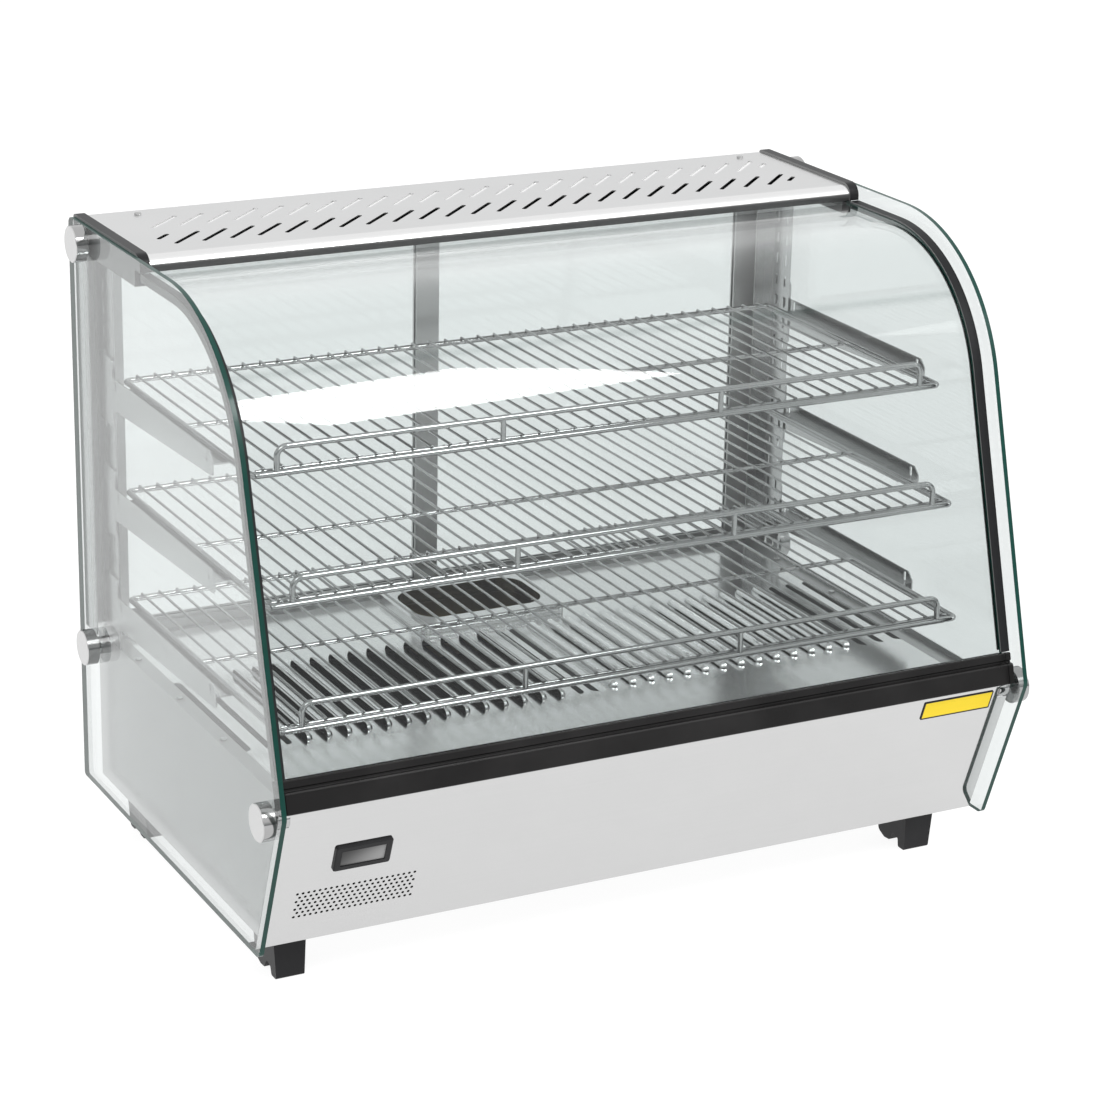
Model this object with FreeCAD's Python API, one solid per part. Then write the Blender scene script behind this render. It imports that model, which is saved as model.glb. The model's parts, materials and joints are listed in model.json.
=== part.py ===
import FreeCAD
import Part
import math
import os

# Hot food display case with curved front glass. Millimetres.
# +X is to the right seen from the front, +Y to the back, +Z up.
# The origin is on the floor, under the middle of the side glasses.

V = FreeCAD.Vector
os.makedirs("parts", exist_ok=True)

# ---- driving dimensions -------------------------------------------------
GLASS_OUT = 418.0          # outer face of each side glass, from the middle
GLASS_T = 5.0
GLASS_IN = GLASS_OUT - GLASS_T
BACK = 279.0               # rear edge of the side glasses
TOP = 672.0                # top edge of the side glasses
BASE = 52.0                # underside of the base
KNEE_Y, KNEE_Z = -279.0, 221.0
FOOT_Y = -217.0            # lower front corner of the side glasses
LEAN = 0.2847              # forward run of the front per mm of fall
CROWN_R = 190.0            # big bend of the side glasses

FRONT_SET = 22.0           # front glass behind the side glasses' front edge
ROOF_DROP = 17.0           # front glass below the side glasses' top edge
FRONT_R = 170.0
SEAL_IN = 402.6

SHEET = 1.2                # folded steel sheet
SKIN = 400.0               # outer face of the cabinet behind each side glass
FLOOR = 214.6              # top of the food well floor
PANEL_TOP = (-257.5, 217.0)
PANEL_FOOT = (-196.0, 50.8)

POST_FRONT, POST_BACK = 198.0, 275.0
POST_OUT, POST_T = 401.8, 1.5
POST_FOOT = 221.0
INSIDE = 398.5             # half width of the sheets between the cabinet sides
POST_LIP = 388.0
POST_TOP = 670.5
SLOT_ROWS = (208.0, 225.0)

SHELF_Z = (509.0, 389.5, 270.0)
SHELF_FRONT = (-133.0, -169.0, -190.0)
SHELF_NAMES = ("top", "middle", "bottom")
SHELF_BACK = 215.0
SHELF_HALF = 384.0
ROD_R = 3.0
WIRE_R = 1.4
SLOT_PITCH = 23.9

DOOR_FRONT_Y = 258.0
DOOR_REAR_Y = 268.0
DOOR_T = 8.0
DOOR_Z0, DOOR_Z1 = 217.2, 650.0
STILE_W = 27.0

HOOD_FRONT = 84.0
HOOD_BACK = 276.6
HOOD_END = 401.8
CAP_LOW = 640.0
SIDES = (("left", -1), ("right", 1))


# ---- helpers ------------------------------------------------------------
def box(x0, x1, y0, y1, z0, z1):
    return Part.makeBox(x1 - x0, y1 - y0, z1 - z0, V(x0, y0, z0))


def side_box(s, x0, x1, y0, y1, z0, z1):
    """Box between two distances from the middle, on side s."""
    a, b = sorted((s * x0, s * x1))
    return box(a, b, y0, y1, z0, z1)


def cyl(x, y, z, r, h, axis=(0, 0, 1)):
    return Part.makeCylinder(r, h, V(x, y, z), V(*axis))


def rounded(points):
    """Closed planar wire through (vector, radius) corners, with tangent arcs."""
    n = len(points)
    cuts = []
    for i in range(n):
        p, r = points[i]
        a = (points[i - 1][0] - p).normalize()
        b = (points[(i + 1) % n][0] - p).normalize()
        if r <= 0:
            cuts.append((p, p, p))
            continue
        half = a.getAngle(b) / 2
        reach = r / math.tan(half)
        mid = p + (a + b).normalize() * (r / math.sin(half) - r)
        cuts.append((p + a * reach, mid, p + b * reach))
    edges = []
    for i in range(n):
        start, mid, end = cuts[i]
        if (end - start).Length > 1e-6:
            edges.append(Part.Arc(start, mid, end).toShape())
        nxt = cuts[(i + 1) % n][0]
        if (nxt - end).Length > 1e-6:
            edges.append(Part.LineSegment(end, nxt).toShape())
    return Part.Wire(edges)


def slab_x(outline, x0, x1):
    """Outline of (y, z, radius) corners, extruded along X."""
    wire = rounded([(V(x0, y, z), r) for y, z, r in outline])
    return Part.Face(wire).extrude(V(x1 - x0, 0, 0))


def slab_z(outline, z0, z1):
    """Outline of (x, y, radius) corners, extruded along Z."""
    wire = rounded([(V(x, y, z0), r) for x, y, r in outline])
    return Part.Face(wire).extrude(V(0, 0, z1 - z0))


def rect(x0, x1, y0, y1, r):
    return [(x0, y0, r), (x1, y0, r), (x1, y1, r), (x0, y1, r)]


def slope_frame(top, foot):
    """Unit vectors (down, out) in YZ of a sloping face that looks forward."""
    dy, dz = foot[0] - top[0], foot[1] - top[1]
    length = math.hypot(dy, dz)
    down = (dy / length, dz / length)
    return down, (down[1], -down[0])


def mirror_x(shape):
    return shape.mirror(V(0, 0, 0), V(1, 0, 0))


def fuse(shapes):
    return shapes[0].multiFuse(shapes[1:]).removeSplitter()


def write(name, shape):
    shape.exportStep("parts/%s.step" % name)


def write_group(name, shapes):
    Part.makeCompound(shapes).exportStep("parts/%s.step" % name)


# ---- front slope of the glass and of the base panel ----------------------
LEAN_LEN = math.hypot(1.0, LEAN)
SET_Y = FRONT_SET * LEAN_LEN


def glass_line(z, inset):
    """Y of a line parallel to the side glasses' front edge, inset behind it."""
    return KNEE_Y + (z - KNEE_Z) * LEAN + inset * LEAN_LEN


PANEL_DOWN, PANEL_OUT = slope_frame(PANEL_TOP, PANEL_FOOT)
GLASS_DOWN, GLASS_NORMAL = slope_frame((0, 0), (-LEAN, -1.0))


def on_panel(s, d):
    """Point (y, z) s mm down the front panel and d mm out from its face."""
    y = PANEL_TOP[0] + s * PANEL_DOWN[0] + d * PANEL_OUT[0]
    z = PANEL_TOP[1] + s * PANEL_DOWN[1] + d * PANEL_OUT[1]
    return y, z


def on_glass(z_start, s, d):
    """Point (y, z) s mm down the front glass from z_start, d mm out of it."""
    y = glass_line(z_start, FRONT_SET) + s * GLASS_DOWN[0] + d * GLASS_NORMAL[0]
    z = z_start + s * GLASS_DOWN[1] + d * GLASS_NORMAL[1]
    return y, z


# ---- side glasses --------------------------------------------------------
STANDOFFS = ((237.0, 653.0), (237.0, 215.0), (-246.5, 208.5))
STUD_R = 3.0
CAP_R = 19.0
CAP_H = 13.0


def side_outline(inset):
    """Outline of the side glass, its curved front shifted in by inset."""
    shoulder = glass_line(TOP, 0)
    return [(BACK, BASE, 4), (BACK, TOP, 8), (shoulder, TOP, CROWN_R),
            (KNEE_Y, KNEE_Z, 14), (FOOT_Y, BASE, 8)]


for side, s in SIDES:
    x0 = GLASS_IN if s > 0 else -GLASS_OUT
    glass = slab_x(side_outline(0), x0, x0 + GLASS_T)
    for y, z in STANDOFFS:
        glass = glass.cut(cyl(x0 - 1, y, z, STUD_R + 0.3, GLASS_T + 2, (1, 0, 0)))
    write("side_glass_" + side, glass)

# ---- standoff bolts that hold the side glasses off the cabinet --------------
SPACER_R = 9.5
caps, studs, spacers = [], [], []
for side, s in SIDES:
    for i, (y, z) in enumerate(STANDOFFS):
        cap = cyl(0, y, z, CAP_R, CAP_H, (1, 0, 0))
        rim = [e for e in cap.Edges if abs(e.CenterOfMass.x - CAP_H) < 0.1 and len(e.Vertexes) < 2]
        cap = cap.makeChamfer(0.8, rim)
        cap = cap.cut(cyl(-1, y, z, STUD_R, 7, (1, 0, 0)))
        cap.translate(V(GLASS_OUT, 0, 0))
        stud_in = 404.0 if i == 0 else SKIN - SHEET - 0.2
        stud = cyl(stud_in, y, z, STUD_R, GLASS_OUT + 6 - stud_in, (1, 0, 0))
        parts = [cap, stud]
        if i > 0:
            ring = cyl(SKIN + 0.1, y, z, SPACER_R, GLASS_IN - SKIN - 0.2, (1, 0, 0))
            parts.append(ring.cut(cyl(SKIN - 1, y, z, STUD_R, 20, (1, 0, 0))))
        if s < 0:
            parts = [mirror_x(p) for p in parts]
        caps.append(parts[0])
        studs.append(parts[1])
        spacers.extend(parts[2:])
write_group("standoff_caps", caps)
write_group("standoff_studs", studs)
write_group("standoff_spacers", spacers)

# ---- curved front glass and its edge seals --------------------------------
ROOF_Z = TOP - ROOF_DROP
GLASS_BACK = 94.0
TRIM_TOP = 247.5
TRIM_LEN = 30.5


def front_strip(out, inner, back, low):
    """YZ outline of a strip along the front glass from out to inner mm of its face."""
    outer_set, inner_set = FRONT_SET - out, FRONT_SET + inner
    z_out, z_in = ROOF_Z + out, ROOF_Z - inner
    return [(back, z_out, 0), (glass_line(z_out, outer_set), z_out, FRONT_R + out),
            (glass_line(low, outer_set), low, 0), (glass_line(low - LEAN, inner_set), low, 0),
            (glass_line(z_in, inner_set), z_in, FRONT_R - inner), (back, z_in, 0)]


GLASS_LOW = 221.0
SEAL_LOW = TRIM_TOP + 1.6
write("front_glass", slab_x(front_strip(0, GLASS_T, GLASS_BACK, GLASS_LOW), -404.4, 404.4))
for side, s in SIDES:
    x0, x1 = sorted((s * SEAL_IN, s * (GLASS_IN - 0.1)))
    seal = slab_x(front_strip(1.6, GLASS_T + 1.6, HOOD_FRONT - 1.5, SEAL_LOW), x0, x1)
    seal = seal.cut(slab_x(front_strip(0.15, GLASS_T + 0.15, GLASS_BACK, GLASS_LOW), -404.6, 404.6))
    write("glass_seal_" + side, seal)

# ---- black trim that holds the foot of the front glass --------------------
TRIM_FOOT = 217.4
TRIM_HALF = 412.6
trim = []
for s_down, out in ((0, -7.2), (0, 2.2), (1.2, 3.4), (7.6, 3.4), (8.8, 1.4), (10.4, 1.4), (11.6, 5.6), (13.2, 6.6)):
    y, z = on_glass(TRIM_TOP, s_down, out)
    trim.append((y, z, 0))
trim.append((glass_line(TRIM_FOOT + 1, FRONT_SET - 6.6), TRIM_FOOT + 1, 0))
trim.append((glass_line(TRIM_FOOT, FRONT_SET - 5.6), TRIM_FOOT, 0))
trim.append((glass_line(TRIM_FOOT, FRONT_SET + 7.2), TRIM_FOOT, 0))
bar = slab_x(trim, -TRIM_HALF, TRIM_HALF)
groove = []
for s_down, out in ((-1, -5.15), (-1, 0.15), (TRIM_LEN - 2.4, 0.15), (TRIM_LEN - 2.4, -5.15)):
    y, z = on_glass(TRIM_TOP, s_down, out)
    groove.append((y, z, 0))
bar = bar.cut(slab_x(groove, -404.8, 404.8))
for s in (-1, 1):
    y, z = STANDOFFS[2]
    bar = bar.cut(cyl(s * (SKIN + 6.5) - 6.7, y, z, SPACER_R + 0.4, 13.4, (1, 0, 0)))
    bar = bar.cut(side_box(s, 406.0, 406.6, -280, glass_line(TRIM_TOP, FRONT_SET - 1), 200, 260))
write("front_trim", bar)

# ---- mirror-polished front panel ------------------------------------------
PANEL_HALF = 412.4
VENT_COLS, VENT_ROWS, VENT_PITCH, VENT_R = 22, 7, 5.9, 1.5
VENT_X0, VENT_S0 = -378.0, 111.0
METER_X, METER_S, METER_W, METER_H = -316.0, 71.5, 60.0, 31.5

fold_in = (PANEL_TOP[1] - PANEL_FOOT[1]) / (PANEL_FOOT[0] - PANEL_TOP[0])
shift = SHEET / math.sin(math.atan(fold_in))
panel = slab_x([(-240.0, 217.0, 0), (PANEL_TOP[0], 217.0, 2.6), (PANEL_FOOT[0], 50.8, 2.6), (-180.0, 50.8, 0),
                (-180.0, 52.0 - 0.05, 0), (PANEL_FOOT[0] + shift - 0.45, 51.95, 1.4),
                (PANEL_TOP[0] + shift + 0.45, 215.8, 1.4), (-240.0, 215.8, 0)], -PANEL_HALF, PANEL_HALF)


def panel_cutter(x, s, r, depth):
    """Round cutter through the panel, square to its face."""
    y, z = on_panel(s, depth / 2)
    return cyl(x, y, z, r, depth, (0, -PANEL_OUT[0], -PANEL_OUT[1]))


def panel_block(x0, x1, s0, s1, d0, d1, r):
    """Rounded block lying on the panel, from d0 to d1 mm out of its face."""
    corners = []
    for x, s in ((x0, s0), (x1, s0), (x1, s1), (x0, s1)):
        y, z = on_panel(s, d0)
        corners.append((V(x, y, z), r))
    rise = d1 - d0
    return Part.Face(rounded(corners)).extrude(V(0, PANEL_OUT[0] * rise, PANEL_OUT[1] * rise))


holes = []
for row in range(VENT_ROWS):
    count = VENT_COLS - row % 2
    for col in range(count):
        x = VENT_X0 + (col + 0.5 * (row % 2)) * VENT_PITCH
        holes.append(panel_cutter(x, VENT_S0 + row * VENT_PITCH * math.sin(math.pi / 3), VENT_R, 6.0))
meter = (METER_X - METER_W / 2, METER_X + METER_W / 2, METER_S - METER_H / 2, METER_S + METER_H / 2)
holes.append(panel_block(meter[0] + 3, meter[1] - 3, meter[2] + 3, meter[3] - 3, -4, 3, 1))
for s in (-1, 1):
    y, z = STANDOFFS[2]
    holes.append(cyl(s * 406.5 - 6.6, y, z, SPACER_R + 0.5, 13.2, (1, 0, 0)))
write("front_panel", panel.cut(Part.makeCompound(holes)))

# thermometer: bezel, display window and the module behind the panel
bezel = panel_block(meter[0], meter[1], meter[2], meter[3], 0.05, 3.2, 3)
front_edges = [e for e in bezel.Edges
               if abs((e.CenterOfMass - V(0, *on_panel(0, 0))).dot(V(0, *PANEL_OUT)) - 3.2) < 0.05]
bezel = bezel.makeChamfer(1.2, front_edges)
bezel = bezel.fuse(panel_block(meter[0] + 3.4, meter[1] - 3.4, meter[2] + 3.4, meter[3] - 3.4, -5, 0.05, 1))
bezel = bezel.cut(panel_block(meter[0] + 6.5, meter[1] - 6.5, meter[2] + 6.0, meter[3] - 6.0, -6, 4, 1))
write("thermometer_bezel", bezel)
write("thermometer_window", panel_block(meter[0] + 6.6, meter[1] - 6.6, meter[2] + 6.1, meter[3] - 6.1, 0.4, 1.8, 1))
write("thermometer_module", panel_block(meter[0] + 4, meter[1] - 4, meter[2] + 4, meter[3] - 4, -22, -5.1, 1))
write("blank_nameplate", panel_block(307.5, 392.5, 7.5, 30.5, 0.05, 0.9, 1.2))

# ---- base sides, base pan, rear panel -------------------------------------
RAIL_IN, SIDE_BACK = 380.0, 272.0
REAR_Y = 256.0
RAIL_SCREWS = (-205.0, -60.0, 60.0, 180.0)
for side, s in SIDES:
    x0 = SKIN - SHEET
    skin = slab_x([(PANEL_TOP[0] + shift + 0.9, 215.5, 0), (PANEL_FOOT[0] + shift + 0.4, BASE + 0.2, 0),
                   (SIDE_BACK, BASE + 0.2, 0),
                   (SIDE_BACK, 220.0, 0), (-236.0, 220.0, 0), (-239.5, 215.5, 0)], x0, SKIN)
    rail = box(RAIL_IN, x0 + 0.1, -238.0, POST_FRONT - 0.4, FLOOR - SHEET, FLOOR)
    skin = fuse([skin, rail])
    for y, z in STANDOFFS[1:]:
        skin = skin.cut(cyl(x0 - 1, y, z, STUD_R + 0.1, 4, (1, 0, 0)))
    for y in RAIL_SCREWS:
        skin = skin.cut(cyl(389.0, y, FLOOR - 3, 1.6, 5))
    write("base_side_" + side, skin if s > 0 else mirror_x(skin))

pan = box(-INSIDE, INSIDE, -193.0, REAR_Y - 0.2, BASE, BASE + SHEET)
slots = [box(x - 2.5, x + 2.5, -10, 70, BASE - 1, BASE + 3) for x in [-50 + 20 * i for i in range(6)]]
write("base_pan", pan.cut(Part.makeCompound(slots)))

KNOB = (300.0, 140.0)
POWER = (232.0, 140.0)
LIGHT = (190.0, 140.0)
GLAND = (-330.0, 90.0)
SWITCH_W, SWITCH_H = 22.0, 30.0
rear = box(-INSIDE, INSIDE, REAR_Y, REAR_Y + SHEET, BASE + 0.2, FLOOR - SHEET)
ears = [side_box(s, RAIL_IN, INSIDE, POST_FRONT, 246.5, FLOOR - SHEET, FLOOR) for s in (-1, 1)]
write("door_sill", fuse([box(-INSIDE, INSIDE, 246.4, SIDE_BACK, FLOOR - SHEET, FLOOR)] + ears))
cuts = [cyl(KNOB[0], REAR_Y - 1, KNOB[1], 5.0, 4, (0, 1, 0)), cyl(GLAND[0], REAR_Y - 1, GLAND[1], 8.2, 4, (0, 1, 0))]
for x, z in (POWER, LIGHT):
    cuts.append(box(x - SWITCH_W / 2 + 1, x + SWITCH_W / 2 - 1, REAR_Y - 1, REAR_Y + 3, z - SWITCH_H / 2 + 1,
                    z + SWITCH_H / 2 - 1))
for i in range(12):
    x = 190 + 14 * i
    cuts.append(box(x - 2.5, x + 2.5, REAR_Y - 1, REAR_Y + 3, 66, 106))
write("rear_panel", rear.cut(Part.makeCompound(cuts)))

# ---- floor with two banks of louvres --------------------------------------
LOUVRE_LEN, LOUVRE_R, LOUVRE_PITCH, LOUVRE_COUNT, LOUVRE_X0, LOUVRE_Y = 200.0, 7.5, 21.7, 14, 25.0, 3.0
PAN_X, PAN_Y0, PAN_Y1 = 82.0, 128.0, 240.0
PAN_LIP_R = 4.2


def quarter_capsule(r, grow):
    """Long scoop rising to a vertical mouth at x = 0, its back towards +X."""
    straight = LOUVRE_LEN - 2 * LOUVRE_R
    body = cyl(0, -straight / 2, 0, r, straight, (0, 1, 0))
    ends = [Part.makeSphere(r, V(0, y, 0)) for y in (-straight / 2, straight / 2)]
    solid = body.multiFuse(ends)
    return solid.common(box(-grow, r + 1, -LOUVRE_LEN, LOUVRE_LEN, -grow, r + 1))


scoop = quarter_capsule(LOUVRE_R, 0).cut(quarter_capsule(LOUVRE_R - 1.0, 2))
mouth = box(-0.5, LOUVRE_R - 1.0, -LOUVRE_LEN / 2 + LOUVRE_R, LOUVRE_LEN / 2 - LOUVRE_R, -3, 1)
tray = box(-RAIL_IN + 0.2, RAIL_IN - 0.2, -238.0, 246.2, FLOOR - SHEET, FLOOR)
tray = tray.cut(box(-PAN_X + 4, PAN_X - 4, PAN_Y0 + 4, PAN_Y1 - 4, FLOOR - 5, FLOOR + 5))
scoops, mouths = [], []
for s in (-1, 1):
    for i in range(LOUVRE_COUNT):
        x = s * (LOUVRE_X0 + i * LOUVRE_PITCH + LOUVRE_R)
        one, hole = scoop.copy(), mouth.copy()
        if s > 0:
            one, hole = mirror_x(one), mirror_x(hole)
        one.translate(V(x, LOUVRE_Y, FLOOR - 0.3))
        hole.translate(V(x, LOUVRE_Y, FLOOR))
        scoops.append(one)
        mouths.append(hole)
tray = tray.cut(Part.makeCompound(mouths))
write("floor_tray", tray.multiFuse(scoops))

flange_screws = []
for s in (-1, 1):
    for y in RAIL_SCREWS:
        head = cyl(s * 389.0, y, FLOOR + 0.05, 3.4, 1.8)
        flange_screws.append(head.fuse(cyl(s * 389.0, y, FLOOR - 8, 1.5, 8.5)))

# ---- water pan that lifts out of the floor --------------------------------
RIM_Z = 224.0
outer = slab_z(rect(-PAN_X - 4, PAN_X + 4, PAN_Y0 - 4, PAN_Y1 + 4, 8), FLOOR + 0.2, RIM_Z)
well_out = slab_z(rect(-PAN_X + 5.6, PAN_X - 5.6, PAN_Y0 + 16.0, PAN_Y1 - 5.6, 26), 178, RIM_Z)
skirt_in = slab_z(rect(-PAN_X - 3, PAN_X + 3, PAN_Y0 - 3, PAN_Y1 + 3, 7), FLOOR - 1, RIM_Z - 1)
well_in = slab_z(rect(-PAN_X + 6.6, PAN_X - 6.6, PAN_Y0 + 17.0, PAN_Y1 - 6.6, 25), 179, RIM_Z + 2)
lip = cyl(-PAN_X + 4, PAN_Y0 - 1, RIM_Z - 3.4, PAN_LIP_R, 2 * PAN_X - 8, (1, 0, 0))
water_pan = outer.cut(skirt_in).fuse(well_out).fuse(lip).cut(well_in)
write("water_pan", water_pan)

# ---- rear corner posts with two rows of hanging slots -----------------------
for side, s in SIDES:
    x0 = POST_OUT - POST_T
    web = box(x0, POST_OUT, POST_FRONT, POST_BACK, POST_FOOT, POST_TOP)
    lip = box(POST_LIP, x0 + 0.1, 253.0, 254.5, POST_FOOT, POST_TOP)
    flange = box(x0, GLASS_IN - 0.2, POST_BACK - SHEET, POST_BACK, POST_FOOT + 5, CAP_LOW - 0.4)
    strip = box(GLASS_IN - 1.4, GLASS_IN - 0.2, 240.0, POST_BACK, POST_FOOT + 5, CAP_LOW - 0.4)
    post = fuse([web, lip, flange, strip])
    y, z = STANDOFFS[1]
    cuts = [cyl(x0 - 1, y, z, SPACER_R + 0.5, 11, (1, 0, 0))]
    for y in SLOT_ROWS:
        for i in range(17):
            z = SHELF_Z[2] - 20.0 + (i - 1) * SLOT_PITCH
            cuts.append(box(x0 - 1, POST_OUT + 1, y - 1.8, y + 1.8, z - 6, z + 6))
    post = post.cut(Part.makeCompound(cuts))
    write("rear_post_" + side, post if s > 0 else mirror_x(post))

# ---- shelf brackets, hooked into the slots of the posts ----------------------
BRACKET_IN, BRACKET_T, BRACKET_TIP, BRACKET_BACK = POST_OUT + 0.3, 1.5, -78.0, 236.0
for name, z in zip(SHELF_NAMES, SHELF_Z):
    arm = slab_x([(BRACKET_BACK, z - 42, 5), (BRACKET_BACK, z + 30, 5), (POST_FRONT, z + 30, 5),
                  (POST_FRONT, z + 10, 0), (BRACKET_TIP + 8, z + 10, 0), (BRACKET_TIP, z + 2, 0),
                  (BRACKET_TIP, z - 13.5, 3), (POST_FRONT, z - 24, 0), (POST_FRONT, z - 42, 5)],
                 BRACKET_IN, BRACKET_IN + BRACKET_T)
    ledge = box(381.0, BRACKET_IN + 0.1, BRACKET_TIP + 6, POST_FRONT - 2, z - ROD_R - 1.7, z - ROD_R - 0.2)
    hooks = [box(BRACKET_IN - 3.3, BRACKET_IN + 0.1, y - 1.5, y + 1.5, z + dz - 4.5, z + dz + 4.5)
             for dz in (-20.0, SLOT_PITCH - 20.0) for y in SLOT_ROWS]
    arm = fuse([arm, ledge] + hooks)
    for y in (BRACKET_TIP + 14, 189.0):
        arm = arm.cut(box(BRACKET_IN - 1, BRACKET_IN + 3, y - 2, y + 2, z - 2.5, z + 8))
    for side, s in SIDES:
        write("bracket_%s_%s" % (name, side), arm if s > 0 else mirror_x(arm))


# ---- wire shelves -----------------------------------------------------------
def bent_rod(points, r, bend, closed=False):
    """Round bar through points, with arcs of radius bend at its corners."""
    legs = []
    n = len(points)
    inner = range(n) if closed else range(1, n - 1)
    ends = {}
    shapes = []
    for i in inner:
        p = points[i]
        a = (points[i - 1] - p).normalize()
        b = (points[(i + 1) % n] - p).normalize()
        half = a.getAngle(b) / 2
        reach = bend / math.tan(half)
        mid = p + (a + b).normalize() * (bend / math.sin(half) - bend)
        ends[i] = (p + a * reach, p + b * reach)
        arc = Part.Arc(ends[i][0], mid, ends[i][1]).toShape()
        ring = Part.Wire(Part.makeCircle(r, ends[i][0], a))
        shapes.append(Part.Wire(arc).makePipeShell([ring], True, False))
    for i in range(n if closed else n - 1):
        j = (i + 1) % n
        start = ends[i][1] if i in ends else points[i]
        stop = ends[j][0] if j in ends else points[j]
        run = stop - start
        legs.append(Part.makeCylinder(r, run.Length, start, run))
    return legs + shapes


GUARD_UP, GUARD_X, GUARD_MID = 26.0, 360.0, 122.0
WIRE_COUNT, WIRE_PITCH = 39, 19.5
for name, z, front in zip(SHELF_NAMES, SHELF_Z, SHELF_FRONT):
    loop = bent_rod([V(-SHELF_HALF, front, z), V(SHELF_HALF, front, z), V(SHELF_HALF, SHELF_BACK, z),
                     V(-SHELF_HALF, SHELF_BACK, z)], ROD_R, 6.0, closed=True)
    wire_z = z + ROD_R + WIRE_R - 0.5
    middle_y = (front + SHELF_BACK) / 2
    bars = [cyl(-SHELF_HALF, middle_y, z + 0.3, 2.5, 2 * SHELF_HALF, (1, 0, 0)),
            cyl(-SHELF_HALF + 6, front + 9, z + 1.0, 1.8, 2 * SHELF_HALF - 12, (1, 0, 0))]
    wires = [cyl((i - (WIRE_COUNT - 1) / 2) * WIRE_PITCH, front + 6, wire_z, WIRE_R, SHELF_BACK - front - 5,
                 (0, 1, 0)) for i in range(WIRE_COUNT)]
    hoop = bent_rod([V(-GUARD_X, front, z + ROD_R - 0.4), V(-GUARD_X, front, z + GUARD_UP),
                     V(GUARD_X, front, z + GUARD_UP), V(GUARD_X, front, z + ROD_R - 0.4)], ROD_R, 10.0)
    struts = [cyl(x, front, z + ROD_R - 0.4, ROD_R - 0.3, GUARD_UP - ROD_R) for x in (-GUARD_MID, GUARD_MID)]
    write("wire_shelf_" + name, loop[0].multiFuse(loop[1:] + bars + wires + hoop + struts))

# ---- hood: slotted top cover with rounded front, end caps, lamp -------------
NOSE_R = 12.0
HOOD_FOOT = 656.9
cover = slab_x([(HOOD_FRONT, HOOD_FOOT, 0), (HOOD_FRONT, TOP, NOSE_R), (HOOD_BACK, TOP, 2), (HOOD_BACK, 654, 0),
                (HOOD_BACK - SHEET, 654, 0), (HOOD_BACK - SHEET, TOP - SHEET, 1), (HOOD_FRONT + SHEET, TOP - SHEET,
                NOSE_R - SHEET), (HOOD_FRONT + SHEET, HOOD_FOOT, 0)], -HOOD_END, HOOD_END)
VENT_RUN, VENT_SLOT_W = 40.0, 4.8
slots = []


def diagonal_slot(x, y, run):
    """Slot at 45 degrees, from (x, y) to (x + run, y + run)."""
    length = run * math.sqrt(2)
    bar = slab_z(rect(0, length, -VENT_SLOT_W / 2, VENT_SLOT_W / 2, VENT_SLOT_W / 2 - 0.1), TOP - 4, TOP + 2)
    bar.rotate(V(0, 0, 0), V(0, 0, 1), 45)
    bar.translate(V(x, y, 0))
    return bar


for row_y, x_first, short_x in ((127.0, -359.0, (-369.0, 355.0)), (197.0, -357.0, (-376.0, 360.0))):
    for i in range(24):
        slots.append(diagonal_slot(x_first + 29.75 * i, row_y, VENT_RUN))
    if row_y < 150:
        slots.append(diagonal_slot(short_x[0], row_y + 23, 17.0))
    slots.append(diagonal_slot(short_x[1], row_y + 8, 16.0))
screw_spots = [(-351.0, 256.0), (364.0, 256.0)]
cover = cover.cut(Part.makeCompound(slots))
for x, y in screw_spots:
    cover = cover.cut(cyl(x, y, TOP - 3, 1.7, 5))
write("top_cover", cover)
hood_screws = []
for x, y in screw_spots:
    head = cyl(x, y, TOP + 0.05, 3.6, 1.8)
    hood_screws.append(head.fuse(cyl(x, y, TOP - 8, 1.5, 8.6)))

for side, s in SIDES:
    cap = slab_x([(HOOD_FRONT - 1, HOOD_FOOT, 0), (HOOD_FRONT - 1, TOP + 2.6, NOSE_R + 2),
                  (HOOD_BACK + 1, TOP + 2.6, 4), (HOOD_BACK + 1, CAP_LOW, 0), (98.0, CAP_LOW, 0),
                  (98.0, HOOD_FOOT, 0)], HOOD_END + 0.2, GLASS_IN - 0.1)
    y, z = STANDOFFS[0]
    cap = cap.cut(cyl(HOOD_END, y, z, STUD_R + 0.1, 20, (1, 0, 0)))
    write("hood_end_" + side, cap if s > 0 else mirror_x(cap))

LAMP_Y, LAMP_HALF = 175.0, 340.0
BATTEN_HALF = SKIN - 0.2
lip_y = LAMP_Y + 24
batten = fuse([box(-BATTEN_HALF, BATTEN_HALF, 96.0, lip_y, 662.0, 663.2),
               box(-LAMP_HALF, LAMP_HALF, LAMP_Y - 24, LAMP_Y - 22.8, 650.0, 663.2),
               box(-BATTEN_HALF, BATTEN_HALF, lip_y - SHEET, lip_y, 650.0, 670.6),
               box(-BATTEN_HALF, BATTEN_HALF, lip_y - SHEET, 245.0, 669.4, 670.6)])
write("lamp_batten", batten)
write("lamp_tube", cyl(-LAMP_HALF + 16, LAMP_Y, 651.0, 7.0, 2 * LAMP_HALF - 32, (1, 0, 0)))
holders = [side_box(s, LAMP_HALF - 15.8, LAMP_HALF - 2, LAMP_Y - 10, LAMP_Y + 10, 640.0, 661.8) for s in (-1, 1)]
write_group("lamp_holders", holders)

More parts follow.
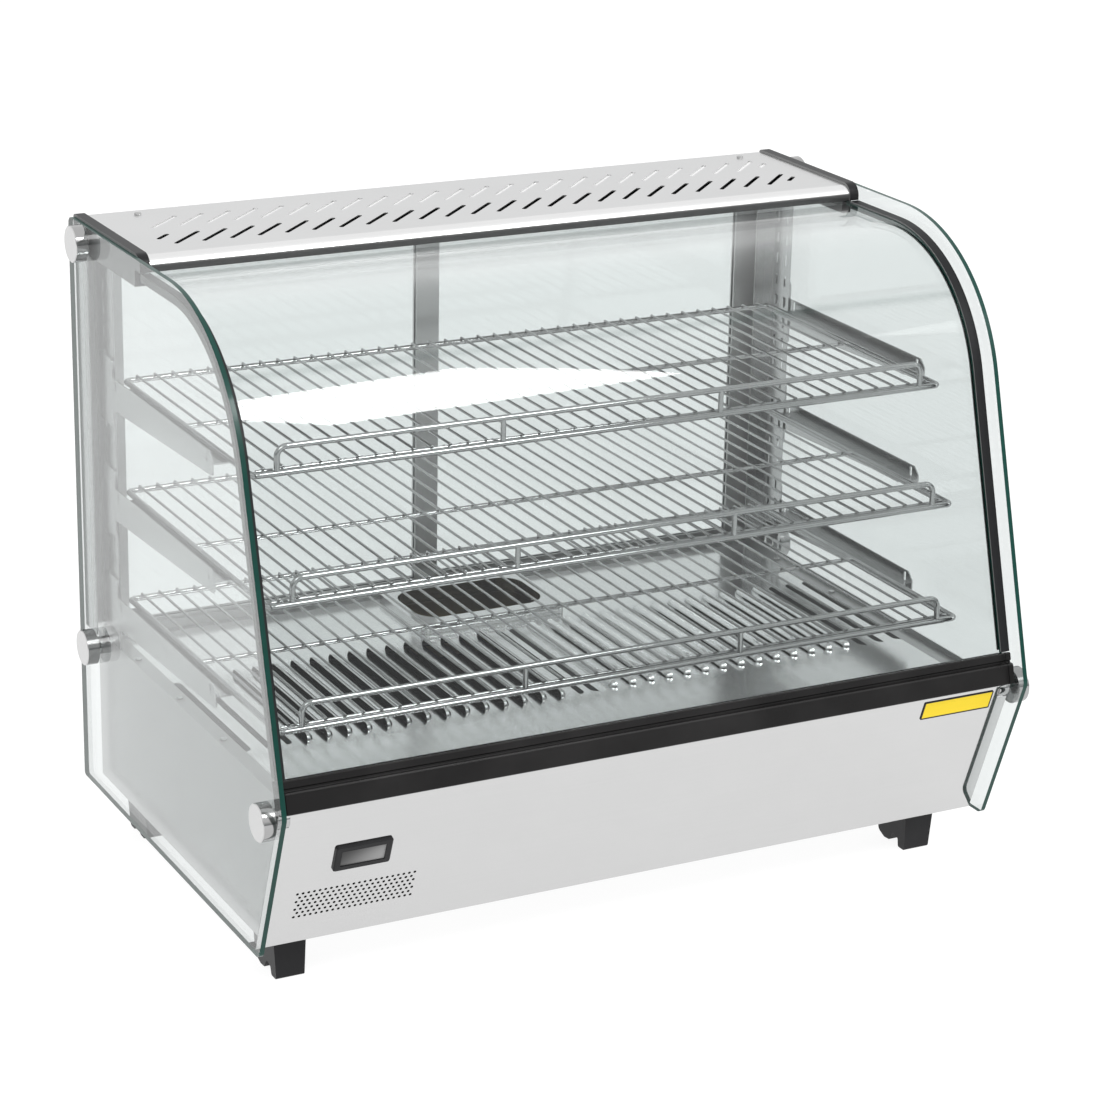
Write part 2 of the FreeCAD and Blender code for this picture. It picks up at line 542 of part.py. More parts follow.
# ---- sliding doors and their tracks ----------------------------------------
TRACK_Y0, TRACK_Y1, TRACK_HALF = 255.6, 278.2, INSIDE - 0.1
ribs = ((TRACK_Y0, TRACK_Y0 + 1.6), (266.5, 267.5), (TRACK_Y1 - 1.6, TRACK_Y1))
low = [box(-TRACK_HALF, TRACK_HALF, TRACK_Y0, TRACK_Y1, FLOOR + 0.1, FLOOR + 2.0)]
low += [box(-TRACK_HALF, TRACK_HALF, a, b, FLOOR + 1.0, FLOOR + 10.0) for a, b in ribs]
write("door_track_lower", fuse(low))
high = [box(-TRACK_HALF, TRACK_HALF, TRACK_Y0, TRACK_Y1 - 3.2, 652.0, 653.6)]
high += [box(-TRACK_HALF, TRACK_HALF, a, b, 636.0, 653.0) for a, b in ribs[:2]]
write("door_track_upper", fuse(high))


def write_door(name, x0, x1, y0):
    """Framed sliding door: stiles and rails in one frame, glass in its groove."""
    y1 = y0 + DOOR_T
    frame = box(x0, x1, y0, y1, DOOR_Z0, DOOR_Z1)
    frame = frame.cut(box(x0 + STILE_W, x1 - STILE_W, y0 - 1, y1 + 1, DOOR_Z0 + 11, DOOR_Z1 - 11))
    frame = frame.cut(box(x0 + STILE_W - 6, x1 - STILE_W + 6, y0 + 1.9, y0 + 6.1, DOOR_Z0 + 5, DOOR_Z1 - 5))
    for x in (x0 + STILE_W / 2, x1 - STILE_W / 2):
        pull = slab_z(rect(x - 8, x + 8, y1 - 1.8, y1 + 3, 0.8), 390, 480)
        frame = frame.cut(pull)
    write(name + "_door_frame", frame)
    write(name + "_door_glass", box(x0 + STILE_W - 5.8, x1 - STILE_W + 5.8, y0 + 2, y0 + 6, DOOR_Z0 + 5.2,
                                    DOOR_Z1 - 5.2))


write_door("left", -396.6, -7.0, DOOR_FRONT_Y)
write_door("right", -30.0, 396.6, DOOR_REAR_Y)

# ---- legs -------------------------------------------------------------------
LEG_IN, LEG_OUT, LEG_DRAFT = 349.0, 384.5, 4.0
leg = slab_x([(-171.5, 51.9, 0), (-170.0, 0.0, 2.5), (-157.5, 0.0, 2.0), (-156.5, 9.0, 2.0), (-147.0, 13.5, 6.0),
              (-140.5, 1.2, 3.0), (-130.0, 0.4, 5.0), (-118.0, 5.5, 6.0), (-117.0, 51.9, 0)], LEG_IN, LEG_OUT)
for x, lean in ((LEG_IN, 1.5), (LEG_OUT, -LEG_DRAFT)):
    far = x - 3 * lean
    corners = [V(far, -200, -1), V(x + lean, -200, -1), V(x, -200, 53), V(far, -200, 53), V(far, -200, -1)]
    leg = leg.cut(Part.Face(Part.makePolygon(corners)).extrude(V(0, 120, 0)))
for side, s in SIDES:
    front_leg = leg if s > 0 else mirror_x(leg)
    back_leg = front_leg.mirror(V(0, 35.0, 0), V(0, 1, 0))
    write("leg_front_" + side, front_leg)
    write("leg_rear_" + side, back_leg)

# ---- controls on the rear panel ----------------------------------------------
kx, kz = KNOB
skirt = cyl(kx, REAR_Y + SHEET + 0.4, kz, 19.0, 4.0, (0, 1, 0))
grip = cyl(kx, REAR_Y + SHEET + 4.0, kz, 14.0, 10.4, (0, 1, 0))
for i in range(16):
    a = i * math.pi / 8
    grip = grip.cut(cyl(kx + 15.2 * math.cos(a), REAR_Y + 4, kz + 15.2 * math.sin(a), 2.2, 14, (0, 1, 0)))
knob = skirt.fuse(grip)
knob = knob.fuse(box(kx - 1.0, kx + 1.0, REAR_Y + 10, REAR_Y + SHEET + 15.0, kz + 2, kz + 12.5))
knob = knob.cut(cyl(kx, REAR_Y, kz, 3.05, 10, (0, 1, 0)))
write("thermostat_knob", knob)
body = box(kx - 22, kx + 22, REAR_Y - 36, REAR_Y - 1, kz - 16, kz + 16)
write("thermostat_body", body.fuse(cyl(kx, REAR_Y - 2, kz, 3.0, 11, (0, 1, 0))))

ROCKER_R = 12.0
housings = []
for name, (x, z) in (("power", POWER), ("light", LIGHT)):
    frame = fuse([box(x - SWITCH_W / 2, x + SWITCH_W / 2, REAR_Y + SHEET + 0.05, REAR_Y + SHEET + 2, z - SWITCH_H / 2,
                      z + SWITCH_H / 2),
                  box(x - SWITCH_W / 2 + 1.2, x + SWITCH_W / 2 - 1.2, REAR_Y - 24, REAR_Y + SHEET + 0.1,
                      z - SWITCH_H / 2 + 1.2, z + SWITCH_H / 2 - 1.2)])
    frame = frame.cut(box(x - 7.4, x + 7.4, REAR_Y - 15, REAR_Y + 8, z - 12.7, z + 12.7))
    housings.append(frame)
    # the rocker is a drum sector about a level axis, with a shallow vee on its face
    drum = cyl(x - 7.0, REAR_Y - 1.5, z, ROCKER_R, 14.0, (1, 0, 0))
    face = slab_x([(REAR_Y - 14, z - 14, 0), (REAR_Y + 7.6, z - 14, 0), (REAR_Y + 5.6, z, 0), (REAR_Y + 7.6, z + 14, 0),
                   (REAR_Y - 14, z + 14, 0)], x - 8, x + 8)
    rocker = drum.common(face)
    rocker.rotate(V(x, REAR_Y - 1.5, z), V(1, 0, 0), -10)
    write(name + "_rocker", rocker)
write_group("switch_housings", housings)

gx, gz = GLAND
gland = fuse([cyl(gx, REAR_Y - 9, gz, 8.0, 14, (0, 1, 0)), cyl(gx, REAR_Y + SHEET + 0.1, gz, 12.0, 5.5, (0, 1, 0)),
              Part.makeCone(9.0, 6.5, 7, V(gx, REAR_Y + 6.5, gz), V(0, 1, 0))])
write("cable_gland", gland.cut(cyl(gx, REAR_Y - 10, gz, 4.2, 30, (0, 1, 0))))

# ---- heating and air under the floor ------------------------------------------
HEAT_Z = 170.0
for side, s in SIDES:
    path = [V(s * 70, -70, HEAT_Z), V(s * 330, -70, HEAT_Z), V(s * 330, -20, HEAT_Z), V(s * 70, -20, HEAT_Z)]
    pieces = bent_rod(path, 4.0, 24.9)
    for x in (90.0, 290.0):
        pieces.append(side_box(s, x, x + 12, -72, -18, HEAT_Z - 5.0, HEAT_Z - 3.4))
        pieces.append(side_box(s, x, x + 12, -46, -44, BASE + SHEET + 0.1, HEAT_Z - 4.0))
    write("heater_" + side, pieces[0].multiFuse(pieces[1:]))

FAN_Y, FAN_Z0, FAN_Z1, FAN_HALF = 30.0, 100.0, 138.0, 60.0
housing = box(-FAN_HALF, FAN_HALF, FAN_Y - FAN_HALF, FAN_Y + FAN_HALF, FAN_Z0, FAN_Z1)
housing = housing.cut(cyl(0, FAN_Y, FAN_Z0 + 3, 56.0, 60))
housing = housing.cut(cyl(0, FAN_Y, FAN_Z0 - 1, 54.0, 8).cut(cyl(0, FAN_Y, FAN_Z0 - 2, 20.0, 12)))
spokes = [box(-54.5, 54.5, FAN_Y - 3, FAN_Y + 3, FAN_Z0, FAN_Z0 + 3), box(-3, 3, FAN_Y - 54.5, FAN_Y + 54.5, FAN_Z0,
                                                                   FAN_Z0 + 3)]
housing = fuse([housing, cyl(0, FAN_Y, FAN_Z0, 20.0, 8)] + spokes)
housing = housing.fuse(cyl(0, FAN_Y, FAN_Z0 + 7, 2.5, 12))
feet = [cyl(x, FAN_Y + y, BASE + SHEET + 0.1, 4.0, FAN_Z0 - BASE - SHEET + 5) for x in (-52, 52) for y in (-52, 52)]
write("fan_housing", housing.multiFuse(feet))
hub = cyl(0, FAN_Y, FAN_Z0 + 9, 20.0, 26).cut(cyl(0, FAN_Y, FAN_Z0, 2.55, 24))
blades = []
for i in range(7):
    blade = box(18.5, 53.0, -1.0, 1.0, -12, 12)
    blade.rotate(V(0, 0, 0), V(1, 0, 0), 40)
    blade.rotate(V(0, 0, 0), V(0, 0, 1), i * 360.0 / 7)
    blade.translate(V(0, FAN_Y, FAN_Z0 + 22))
    blades.append(blade)
write("fan_rotor", hub.multiFuse(blades))
block = box(-350, -290, 160, 184, BASE + SHEET + 0.1, BASE + SHEET + 20)
for i in range(5):
    block = block.cut(cyl(-344 + 12 * i, 172, BASE + SHEET + 12, 3.0, 12))
write("terminal_block", block)
write_group("cover_screws", flange_screws + hood_screws)
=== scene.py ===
import json
import math

import bpy
from mathutils import Matrix, Vector


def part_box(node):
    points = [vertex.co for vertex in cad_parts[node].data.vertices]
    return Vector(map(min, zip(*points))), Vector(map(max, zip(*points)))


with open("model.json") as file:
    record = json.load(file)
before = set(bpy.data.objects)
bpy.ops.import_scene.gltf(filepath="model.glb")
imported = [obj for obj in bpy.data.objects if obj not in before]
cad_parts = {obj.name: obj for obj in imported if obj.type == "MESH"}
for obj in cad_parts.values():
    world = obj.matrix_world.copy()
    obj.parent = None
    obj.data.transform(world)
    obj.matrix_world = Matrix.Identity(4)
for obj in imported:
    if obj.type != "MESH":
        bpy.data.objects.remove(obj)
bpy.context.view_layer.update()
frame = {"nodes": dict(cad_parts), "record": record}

# ---------------------------------------------------------------- camera
SENSOR = 36.0
LENS = 107.17
CAMERA_PLACE = Vector((-1.48461, -2.85929, 1.46213))
TURN = math.radians(-27.4546)
TILT = math.radians(19.2168)
ROLL = math.radians(1.1558)


def add_camera():
    """The view that the case is shown in, from the front left and a little above."""
    back = Vector((math.sin(TURN) * math.cos(TILT), -math.cos(TURN) * math.cos(TILT), math.sin(TILT)))
    level = Vector((0, 0, 1)).cross(back).normalized()
    above = back.cross(level)
    right = math.cos(ROLL) * level + math.sin(ROLL) * above
    up = math.cos(ROLL) * above - math.sin(ROLL) * level
    data = bpy.data.cameras.new("camera")
    data.sensor_width = SENSOR
    data.lens = LENS
    camera = bpy.data.objects.new("camera", data)
    turn = Matrix((right, up, back)).transposed().to_4x4()
    camera.matrix_world = Matrix.Translation(CAMERA_PLACE) @ turn
    bpy.context.scene.collection.objects.link(camera)
    bpy.context.scene.camera = camera


# ---------------------------------------------------------------- shader maths
class Wire:
    """A socket in shader maths: an expression on it adds its Math nodes."""

    def __init__(self, finish, socket):
        self.finish = finish
        self.socket = socket

    def math(self, operation, *others):
        values = dict(enumerate((self,) + others))
        return self.finish.add("ShaderNodeMath", {"operation": operation}, values)

    def __add__(self, other):
        return self.math("ADD", other)

    def __sub__(self, other):
        return self.math("SUBTRACT", other)

    def __mul__(self, other):
        return self.math("MULTIPLY", other)

    def __rsub__(self, other):
        return self.finish.add("ShaderNodeMath", {"operation": "SUBTRACT"}, {0: other, 1: self})

    __radd__ = __add__
    __rmul__ = __mul__

    def size(self):
        return self.math("ABSOLUTE")

    def rise(self, low, high):
        """0 below low, 1 above high, smooth between."""
        sockets = {"Value": self, "From Min": low, "From Max": high}
        return self.finish.add("ShaderNodeMapRange", {"interpolation_type": "SMOOTHSTEP"}, sockets)


class Finish:
    """One material: the nodes that feed its shader, in the case's own coordinates."""

    def __init__(self, name):
        self.material = bpy.data.materials.new(name)
        self.material.use_nodes = True
        self.tree = self.material.node_tree
        self.tree.nodes.clear()
        self.place = self.add("ShaderNodeTexCoord", out="Object")

    def add(self, kind, settings=None, sockets=None, out=0):
        node = self.tree.nodes.new(kind)
        for key, value in (settings or {}).items():
            setattr(node, key, value)
        for key, value in (sockets or {}).items():
            self.feed(node.inputs[key], value)
        return Wire(self, node.outputs[out])

    def feed(self, socket, value):
        if isinstance(value, Wire):
            self.tree.links.new(value.socket, socket)
        else:
            socket.default_value = value

    def axes(self):
        split = self.add("ShaderNodeSeparateXYZ", None, {0: self.place})
        node = split.socket.node
        return [Wire(self, node.outputs[i]) for i in range(3)]

    def facing(self):
        """How far the surface faces along X, Y and Z, as sizes."""
        normal = self.add("ShaderNodeTexCoord", out="Normal")
        split = self.add("ShaderNodeSeparateXYZ", None, {0: normal})
        node = split.socket.node
        return [Wire(self, node.outputs[i]).size() for i in range(3)]

    def stretched(self, factors):
        return self.add("ShaderNodeVectorMath", {"operation": "MULTIPLY"}, {0: self.place, 1: factors})

    def noise(self, scale, detail=2.0, stretch=None, roughness=0.5):
        place = self.stretched(stretch) if stretch else self.place
        sockets = {"Vector": place, "Scale": scale, "Detail": detail, "Roughness": roughness}
        return self.add("ShaderNodeTexNoise", None, sockets)

    def mix(self, factor, first, second):
        """Colour that goes from first to second."""
        node = self.tree.nodes.new("ShaderNodeMix")
        node.data_type = "RGBA"
        self.feed(node.inputs[0], factor)
        self.feed(node.inputs[6], first)
        self.feed(node.inputs[7], second)
        return Wire(self, node.outputs[2])

    def bump(self, height, strength, distance):
        sockets = {"Height": height, "Strength": strength, "Distance": distance}
        return self.add("ShaderNodeBump", None, sockets)

    def principled(self, **sockets):
        """Main shader; parts without metal get a weak gloss, as a matt black skin has."""
        named = {key.replace("_", " "): value for key, value in sockets.items()}
        if "Metallic" not in named:
            named["Specular IOR Level"] = WEAK_GLOSS
        return self.add("ShaderNodeBsdfPrincipled", None, named)

    def show(self, shader):
        """The finished material, with shader on its surface."""
        node = self.tree.nodes.new("ShaderNodeOutputMaterial")
        self.tree.links.new(shader.socket, node.inputs["Surface"])
        return self.material


def grey(value):
    return (value, value, value, 1.0)


def scaled(colour, factor):
    """The colour made lighter or darker by a factor."""
    return tuple(factor * c for c in colour[:3]) + (1.0,)


# ---------------------------------------------------------------- finishes
MM = 0.001
WEAK_GLOSS = 0.2
BLACK = (0.012, 0.012, 0.013, 1.0)
GLASS_EDGE = (0.0, 0.028, 0.021, 1.0)
WHITE = (1.0, 1.0, 1.0, 1.0)

LOUVRE_FIRST = 32.5 * MM          # middle of the first scoop, from the middle of the floor
LOUVRE_HALF_PITCH = 10.85 * MM
SCOOP_AXIS_Z = 214.3 * MM
SCOOP_MIDDLE_Y = 3 * MM
SCOOP_HALF = 92.5 * MM            # straight part of a scoop, from its middle
SCOOP_SKIN = 7 * MM               # radius halfway through the sheet of a scoop
PANEL_EDGE = (-257.5 * MM, 217 * MM)
PANEL_SLOPE = (0.938, 0.347)
VENT_LOW, VENT_TOP, VENT_RIGHT = 79 * MM, 117 * MM, -242.5 * MM
WELL_SHADE = (206 * MM, 216 * MM)
POST_LIP_Y = 253 * MM
BATTEN_PLATE_Z = 662.85 * MM      # middle of the sheet of the front plate
PLATE_MIDDLE = (350 * MM, 199.2 * MM)
WINDOW_MIDDLE = (-316 * MM, 150 * MM)


def pane(name, tint, face_axes):
    """Thin clear glass with dark green ground edges; its clear faces look along face_axes."""
    f = Finish(name)
    facing = f.facing()
    flat = facing[face_axes[0]]
    for axis in face_axes[1:]:
        flat = flat.math("MAXIMUM", facing[axis])
    edge = 1 - flat.rise(0.55, 0.75)
    glance = f.add("ShaderNodeLayerWeight", None, {"Blend": 0.5}, out="Facing")
    gloss = 0.035 + 0.9 * glance.math("POWER", 4.5)
    clear = f.add("ShaderNodeBsdfTransparent", None, {"Color": tint})
    mirror = f.add("ShaderNodeBsdfGlossy", None, {"Color": WHITE, "Roughness": 0.01})
    sheet = f.add("ShaderNodeMixShader", None, {0: gloss, 1: clear, 2: mirror})
    depth = f.noise(60.0, 2.0)
    ground = f.principled(Base_Color=f.mix(depth, GLASS_EDGE, scaled(GLASS_EDGE, 1.6)), Roughness=0.3,
                          Coat_Weight=0.25, Coat_Roughness=0.1)
    return f.show(f.add("ShaderNodeMixShader", None, {0: edge, 1: sheet, 2: ground}))


def steel(name, tone, rough, grain):
    """Stainless sheet with a fine grain; grain is the stretch of the noise along each axis."""
    f = Finish(name)
    lines = f.noise(1.0, 3.0, grain, 0.6)
    cloud = f.noise(7.0, 3.0)
    colour = f.mix(0.7 * lines + 0.3 * cloud, grey(0.9 * tone), grey(1.1 * tone))
    wear = rough * (0.8 + 0.4 * lines) + 0.05 * cloud.rise(0.45, 0.75)
    return f.show(f.principled(Base_Color=colour, Metallic=1.0, Roughness=wear,
                               Normal=f.bump(lines, 0.06, 0.2 * MM)))


def zoned(name, mask, first, second, metal=1.0):
    """Two finishes on one part, (colour, roughness) each, with a fine grain and cloudy wear.

    mask(f) is 1 where the second one is; on several parts the second one is painted shade, a painted
    reflection or a painted sheen instead of a real finish.
    """
    f = Finish(name)
    zone = mask(f)
    cloud = f.noise(11.0, 3.0)
    lines = f.noise(1.0, 3.0, (8.0, 700.0, 700.0), 0.6)
    low = f.mix(zone, scaled(first[0], 0.93), scaled(second[0], 0.93))
    high = f.mix(zone, first[0], second[0])
    rough = first[1] + (second[1] - first[1]) * zone + 0.05 * (cloud - 0.5)
    sockets = {"Base_Color": f.mix(0.5 * lines + 0.5 * cloud, low, high), "Roughness": rough}
    if metal:
        sockets["Metallic"] = metal
    return f.show(f.principled(Normal=f.bump(lines, 0.03, 0.2 * MM), **sockets))


def shaded_cabinet_inside(f):
    """Faces that look into the space under the floor; they get painted shade, near black."""
    x, y, z = f.axes()
    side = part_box("base_side_right")[1].x - 1 * MM
    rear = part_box("rear_panel")[0].y + 0.2 * MM
    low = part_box("base_pan")[1].z - 0.6 * MM
    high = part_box("door_sill")[0].z + 0.2 * MM
    fade = 0.4 * MM
    within = (1 - x.size().rise(side, side + fade)) * (1 - y.rise(rear, rear + fade))
    return within * z.rise(low, low + fade) * (1 - z.rise(high, high + fade))


def shaded_floor_inside(f):
    """Underside of the floor, and the hollow inside of each scoop of its louvres; they get painted shade,
    near black.
    """
    x, y, z = f.axes()
    across = (x.size() - LOUVRE_FIRST).math("WRAP", LOUVRE_HALF_PITCH, -LOUVRE_HALF_PITCH)
    up = z - SCOOP_AXIS_Z
    along = ((y - SCOOP_MIDDLE_Y).size() - SCOOP_HALF).math("MAXIMUM", 0.0)
    reach = (across * across + up * up + along * along).math("SQRT")
    hollow = 1 - reach.rise(SCOOP_SKIN - 0.05 * MM, SCOOP_SKIN + 0.05 * MM)
    behind_mouth = 1 - across.rise(0.3 * MM, 0.6 * MM)
    return (hollow * behind_mouth).math("MAXIMUM", shaded_cabinet_inside(f))


def panel_back_shade(f):
    """Rear face of the sloping front panel, and the walls of its vent holes; they get painted shade, near
    black.
    """
    x, y, z = f.axes()
    depth = PANEL_SLOPE[0] * (y - PANEL_EDGE[0]) + PANEL_SLOPE[1] * (z - PANEL_EDGE[1])
    rows = z.rise(VENT_LOW - MM, VENT_LOW + MM) * (1 - z.rise(VENT_TOP - MM, VENT_TOP + MM))
    vents = rows * (1 - x.rise(VENT_RIGHT - 0.5 * MM, VENT_RIGHT + 0.5 * MM))
    back = depth.rise(0.5 * MM, 0.8 * MM)
    return back.math("MAXIMUM", depth.rise(0.1 * MM, 0.3 * MM) * vents)


def pan_well(f):
    """Inside of the pan, below its rim."""
    z = f.axes()[2]
    return 1 - z.rise(*WELL_SHADE)


def post_strip(f):
    """Rear flange of the corner posts."""
    return f.axes()[1].rise(POST_LIP_Y - 0.2 * MM, POST_LIP_Y + 0.2 * MM)


def hood_front_reflection(f):
    """Upright front face of the hood, under its rounded nose; it gets a painted reflection, a dark band
    standing in for something dark mirrored in the polished face.
    """
    x, y, z = f.axes()
    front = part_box("top_cover")[0].y
    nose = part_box("top_cover")[1].z - 8.5 * MM
    return (1 - z.rise(nose, nose + 2 * MM)) * (1 - y.rise(front + 1.6 * MM, front + 2.2 * MM))


def turned_rim(f):
    """Round sides of a cap, away from its flat end."""
    return 1 - f.facing()[0].rise(0.5, 0.8)


def outer_side_sheen(f):
    """Faces that look sideways through the side glass; they get a painted sheen, grey on the black."""
    return f.facing()[0].rise(0.6, 0.8)


def batten_top_shade(f):
    """Upper face of the front plate of the lamp batten; it gets painted shade, black, which shows through
    the vent slots of the hood above it.
    """
    z = f.axes()[2]
    above = z.rise(BATTEN_PLATE_Z - 0.15 * MM, BATTEN_PLATE_Z + 0.15 * MM)
    return above * (1 - z.rise(BATTEN_PLATE_Z + 2.15 * MM, BATTEN_PLATE_Z + 4.15 * MM))


def plate_border(f):
    """Narrow border round the nameplate."""
    x, y, z = f.axes()
    along = (x - PLATE_MIDDLE[0]).size().rise(40.8 * MM, 41.1 * MM)
    across = (z - PLATE_MIDDLE[1]).size().rise(9.2 * MM, 9.5 * MM)
    return along.math("MAXIMUM", across)


def window_glare(f):
    """Soft light across the lower right of the display window."""
    x, y, z = f.axes()
    slant = (x - WINDOW_MIDDLE[0]) - 1.2 * (z - WINDOW_MIDDLE[1])
    return slant.rise(-30 * MM, 35 * MM)


def plated(name, tone, rough):
    """Bright plating on wire or turned parts."""
    f = Finish(name)
    spots = f.noise(420.0, 2.0)
    cloud = f.noise(22.0, 2.0)
    worn = rough + 0.06 * spots.rise(0.5, 0.8)
    return f.show(f.principled(Base_Color=f.mix(cloud, grey(tone * 0.92), grey(tone)), Metallic=1.0,
                               Roughness=worn, Normal=f.bump(spots, 0.05, 0.1 * MM)))


def moulded(name, colour, rough, grain_scale=900.0, grain=0.25, coat=0.0):
    """Moulded plastic or rubber with a fine surface texture."""
    f = Finish(name)
    skin = f.noise(grain_scale, 2.0)
    cloud = f.noise(14.0, 3.0)
    lighter = tuple(min(1.0, 1.35 * c + 0.004) for c in colour) + (1.0,)
    return f.show(f.principled(Base_Color=f.mix(cloud.rise(0.35, 0.8), tuple(colour) + (1.0,), lighter),
                               Roughness=rough + 0.1 * (cloud - 0.5), Coat_Weight=coat, Coat_Roughness=0.08,
                               Normal=f.bump(skin, grain, 0.1 * MM)))


def painted(name, colour, rough):
    """Smooth coat with a faint orange peel."""
    f = Finish(name)
    orange_peel = f.noise(260.0, 2.0)
    cloud = f.noise(9.0, 2.0)
    return f.show(f.principled(Base_Color=f.mix(cloud, scaled(colour, 0.92), scaled(colour, 1.0)),
                               Roughness=rough + 0.08 * cloud, Normal=f.bump(orange_peel, 0.1, 0.2 * MM)))


PAINTED_SHADE_INSIDE = (grey(0.03), 0.5)    # painted shade: near-black colour and roughness of faces inside the cabinet
YELLOW = (0.84, 0.62, 0.02, 1.0)
PAN_SHADE = (0.17, 0.15, 0.1, 1.0)
LEVEL_GRAIN = (900.0, 6.0, 900.0)
UPRIGHT_GRAIN = (900.0, 900.0, 5.0)
PLASTIC = 0.0                      # no metal in the finish

FINISHES = {
    "side_glass_clear": lambda: pane("side glass", (0.9, 0.916, 0.914, 1.0), (0,)),
    "front_glass_clear": lambda: pane("front glass", (0.89, 0.906, 0.904, 1.0), (1, 2)),
    "door_glass_clear": lambda: pane("door glass", (0.9, 0.918, 0.916, 1.0), (1,)),
    # the sideways faces of the black seal get a painted sheen, grey
    "seal_black": lambda: zoned("seal", outer_side_sheen, (BLACK, 0.42), (grey(0.16), 0.4), PLASTIC),
    "trim_black": lambda: moulded("trim", (0.008, 0.0075, 0.0075), 0.24, 300.0, 0.03, 0.15),
    # the sideways faces of the black hood ends get a painted sheen, grey
    "cap_black": lambda: zoned("hood end", outer_side_sheen, (BLACK, 0.38), (grey(0.2), 0.4), PLASTIC),
    # the back of the front panel and the walls of its vent holes get painted shade
    "mirror_steel": lambda: zoned("mirror steel", panel_back_shade, (grey(0.61), 0.06), (grey(0.05), 0.5)),
    # the underside of the floor and the hollows of its scoops get painted shade
    "floor_steel": lambda: zoned("floor steel", shaded_floor_inside, (grey(0.84), 0.16), PAINTED_SHADE_INSIDE),
    "pan_steel": lambda: zoned("pan steel", pan_well, (grey(0.72), 0.14), (PAN_SHADE, 0.3)),
    # faces inside the cabinet under the floor get painted shade
    "satin_steel": lambda: zoned("satin steel", shaded_cabinet_inside, (grey(0.46), 0.3), PAINTED_SHADE_INSIDE),
    "post_steel": lambda: zoned("post steel", post_strip, (grey(0.5), 0.16), (grey(0.7), 0.3)),
    # the upright front face of the hood is painted dark as a painted reflection
    "hood_steel": lambda: zoned("hood steel", hood_front_reflection, (grey(0.76), 0.3), (grey(0.12), 0.3)),
    "bracket_steel": lambda: steel("bracket steel", 0.5, 0.22, LEVEL_GRAIN),
    "cap_steel": lambda: zoned("cap steel", turned_rim, (grey(0.62), 0.26), (grey(0.4), 0.1)),
    "bright_chrome": lambda: plated("bright chrome", 0.46, 0.05),
    "screw_steel": lambda: plated("screw steel", 0.5, 0.22),
    "grey_aluminium": lambda: steel("grey aluminium", 0.5, 0.34, UPRIGHT_GRAIN),
    "moulded_black": lambda: moulded("moulded black", (0.011, 0.011, 0.012), 0.42),
    "bezel_black": lambda: moulded("bezel", (0.012, 0.012, 0.013), 0.25, 700.0, 0.08),
    "display_window": lambda: zoned("display window", window_glare, (grey(0.05), 0.1), (grey(0.3), 0.12),
                                    PLASTIC),
    "plate_yellow": lambda: zoned("plate yellow", plate_border, (YELLOW, 0.35), (BLACK, 0.35), PLASTIC),
    # the top of the batten's front plate gets painted shade, black, under the vent slots of the hood
    "reflector_white": lambda: zoned("reflector", batten_top_shade, (grey(0.7), 0.4), (BLACK, 0.5), PLASTIC),
    "lamp_glass": lambda: painted("lamp tube", (0.92, 0.92, 0.88), 0.25),
    "heater_sheath": lambda: plated("heater sheath", 0.3, 0.4),
    "fan_black": lambda: moulded("fan", (0.02, 0.02, 0.021), 0.45),
    "thermostat_case": lambda: moulded("thermostat case", (0.7, 0.66, 0.58), 0.5),
    "rocker_black": lambda: moulded("rocker", (0.01, 0.01, 0.01), 0.2, 300.0, 0.03),
}


def dress():
    """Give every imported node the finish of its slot."""
    made = {}
    slots = {part["node"]: part["material_slot"] for part in frame["record"]["subparts"]}
    for node, obj in frame["nodes"].items():
        name = slots[node]
        if name not in made:
            made[name] = FINISHES[name]()
        for slot in obj.material_slots:
            slot.material = made[name]


# ---------------------------------------------------------------- setting
FLOOR_HALF = 30.0
FLOOR_GLOW = 0.91                  # the floor is lit evenly, so that only a faint shadow shows
WALL_LOW = (0.36, 0.37, 0.375, 1.0)
WALL_TURN = 0.42                   # height of a view direction at which the wall is fully white
WALL_STRENGTH = 1.1

# name, place, aim, size and power of each lamp
LAMPS = (("key", (-1.8, -2.2, 3.2), (0, 0, 0.3), (2.0, 1.6), 36.0),
         ("soft box", (0.72, -1.64, 2.14), (-0.2, -0.15, 0.58), (0.62, 0.95), 26.0),
         ("fill", (2.6, -1.4, 1.8), (0, 0, 0.3), (1.6, 1.6), 12.0))


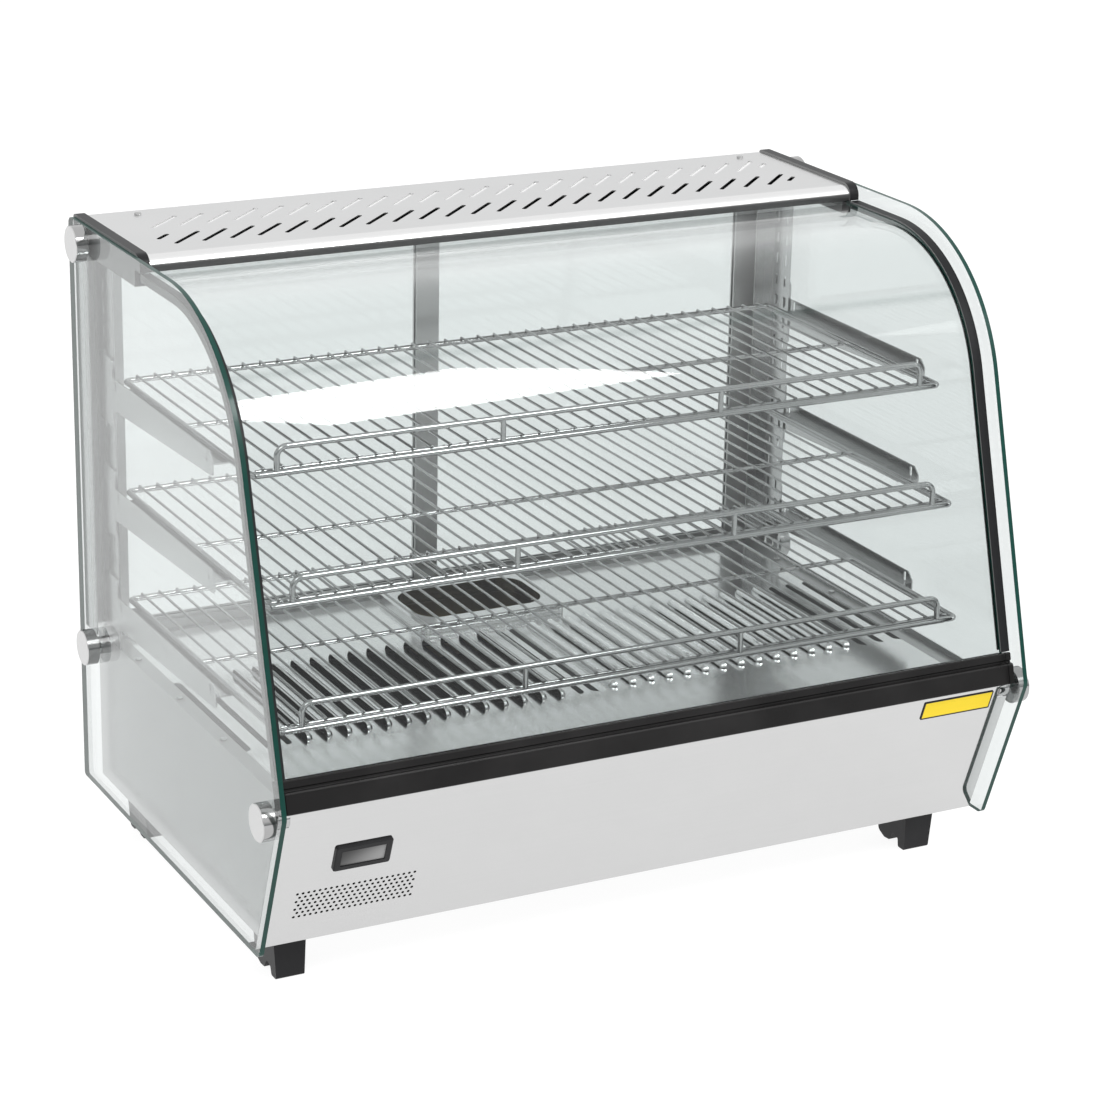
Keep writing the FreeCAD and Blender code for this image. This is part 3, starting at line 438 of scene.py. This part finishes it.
def add_floor():
    """White floor of the studio, which isn't part of the case."""
    mesh = bpy.data.meshes.new("floor")
    corners = [(-FLOOR_HALF, -FLOOR_HALF, 0), (FLOOR_HALF, -FLOOR_HALF, 0), (FLOOR_HALF, FLOOR_HALF, 0),
               (-FLOOR_HALF, FLOOR_HALF, 0)]
    mesh.from_pydata(corners, [], [(0, 1, 2, 3)])
    floor = bpy.data.objects.new("floor", mesh)
    bpy.context.scene.collection.objects.link(floor)
    f = Finish("floor")
    speck = f.noise(30.0, 2.0)
    tone = f.mix(speck, grey(0.15), grey(0.17))
    mesh.materials.append(f.show(f.principled(Base_Color=tone, Roughness=0.8, Emission_Color=WHITE,
                                              Emission_Strength=FLOOR_GLOW)))


def add_lamp(name, place, aim, size, power):
    data = bpy.data.lights.new(name, "AREA")
    data.shape = "RECTANGLE"
    data.size = size[0]
    data.size_y = size[1]
    data.energy = power
    lamp = bpy.data.objects.new(name, data)
    lamp.location = place
    lamp.rotation_euler = (Vector(aim) - Vector(place)).to_track_quat("-Z", "Y").to_euler()
    bpy.context.scene.collection.objects.link(lamp)


def studio_walls():
    """White studio whose walls are darker near the floor."""
    world = bpy.data.worlds.new("studio")
    world.use_nodes = True
    tree = world.node_tree
    place = tree.nodes.new("ShaderNodeTexCoord")
    split = tree.nodes.new("ShaderNodeSeparateXYZ")
    height = tree.nodes.new("ShaderNodeMapRange")
    height.interpolation_type = "SMOOTHSTEP"
    height.inputs["From Min"].default_value = 0.0
    height.inputs["From Max"].default_value = WALL_TURN
    blend = tree.nodes.new("ShaderNodeMix")
    blend.data_type = "RGBA"
    blend.inputs[6].default_value = WALL_LOW
    blend.inputs[7].default_value = WHITE
    tree.links.new(place.outputs["Generated"], split.inputs[0])
    tree.links.new(split.outputs[2], height.inputs["Value"])
    tree.links.new(height.outputs[0], blend.inputs[0])
    tree.links.new(blend.outputs[2], tree.nodes["Background"].inputs["Color"])
    tree.nodes["Background"].inputs["Strength"].default_value = WALL_STRENGTH
    return world


def add_light():
    scene = bpy.context.scene
    scene.world = studio_walls()
    scene.view_settings.view_transform = "Standard"
    scene.cycles.transparent_max_bounces = 48
    scene.cycles.max_bounces = 14
    scene.cycles.glossy_bounces = 8
    for name, place, aim, size, power in LAMPS:
        add_lamp(name, place, aim, size, power)


add_camera()
dress()
add_floor()
add_light()
